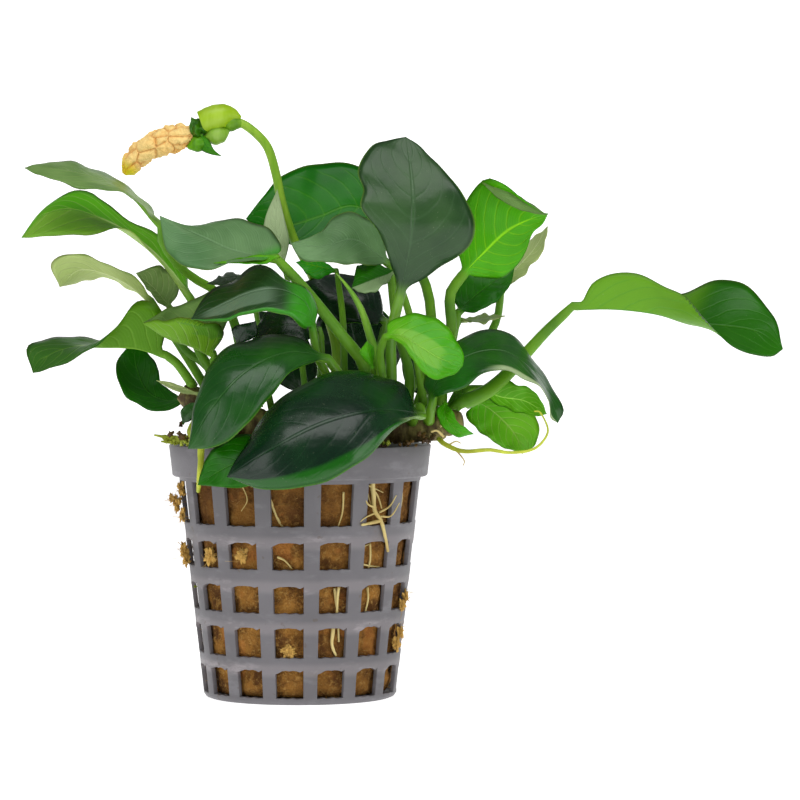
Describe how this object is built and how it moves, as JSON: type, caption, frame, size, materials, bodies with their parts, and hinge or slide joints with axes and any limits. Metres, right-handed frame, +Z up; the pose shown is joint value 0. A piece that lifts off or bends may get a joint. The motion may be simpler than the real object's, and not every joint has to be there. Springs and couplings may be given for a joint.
{
  "type": "anubias plant in net pot",
  "caption": "Leafy anubias growing in rock wool in a grey slotted plastic net pot, with a flower spike on a bent stalk and pale aerial roots.",
  "frame": {"origin": "the middle of the flat foot of the pot, on its underside", "axes": "+Z up out of the pot, +X to the right along the plant's widest spread, -Y towards the front of the plant"},
  "size_m": [0.1586, 0.0643, 0.1243],
  "materials": {
    "pot_plastic": "matte, moulded",
    "rock_wool": "fibrous",
    "rhizome_skin": "rough, scarred",
    "leaf_bright": "waxy",
    "leaf_pale": "waxy",
    "leaf_mid": "waxy",
    "leaf_dark": "waxy",
    "stalk_green": "satin",
    "flower_spike": "lumpy, matte",
    "bract_green": "satin",
    "root_pale": "smooth, matte"
  },
  "bodies": {
    "root": {"net_pot": "pot_plastic", "rock_wool": "rock_wool", "rhizome": "rhizome_skin", "leaf_bright_left": "leaf_bright", "leaf_bright_right": "leaf_bright", "leaf_young_front": "leaf_bright", "leaf_young_small": "leaf_bright", "leaf_young_back": "leaf_bright", "leaf_back_left": "leaf_bright", "leaf_pale_left": "leaf_pale", "leaf_pale_right": "leaf_pale", "leaf_thin_right": "leaf_pale", "leaf_yellow_right": "leaf_pale", "leaf_curled_right": "leaf_pale", "leaf_striped": "leaf_pale", "sheath": "leaf_pale", "leaf_upper_left": "leaf_mid", "leaf_folded_left": "leaf_mid", "leaf_twisted_left": "leaf_mid", "leaf_boat_left": "leaf_mid", "leaf_middle_left": "leaf_mid", "leaf_crown_left": "leaf_mid", "leaf_small_left": "leaf_mid", "leaf_lower_right": "leaf_mid", "leaf_far_right": "leaf_mid", "leaf_withered": "leaf_mid", "leaf_crown": "leaf_dark", "leaf_curved_left": "leaf_dark", "leaf_front_left": "leaf_dark", "leaf_front": "leaf_dark", "leaf_front_lower": "leaf_dark", "leaf_shaded": "leaf_dark", "leaf_shaded_small": "leaf_dark", "leaf_shaded_back": "leaf_dark", "leaf_inner": "leaf_dark", "leaf_inner_left": "leaf_dark", "leaf_inner_right": "leaf_dark", "leaf_shaded_right": "leaf_dark", "leaf_arched_right": "leaf_dark", "leaf_spear": "stalk_green", "peduncle": "stalk_green", "spadix": "flower_spike", "spathe": "bract_green", "root_aerial": "root_pale", "root_over_rim": "root_pale", "root_window_left": "root_pale", "root_window_right": "root_pale", "root_window_low": "root_pale"}
  },
  "joints": []
}
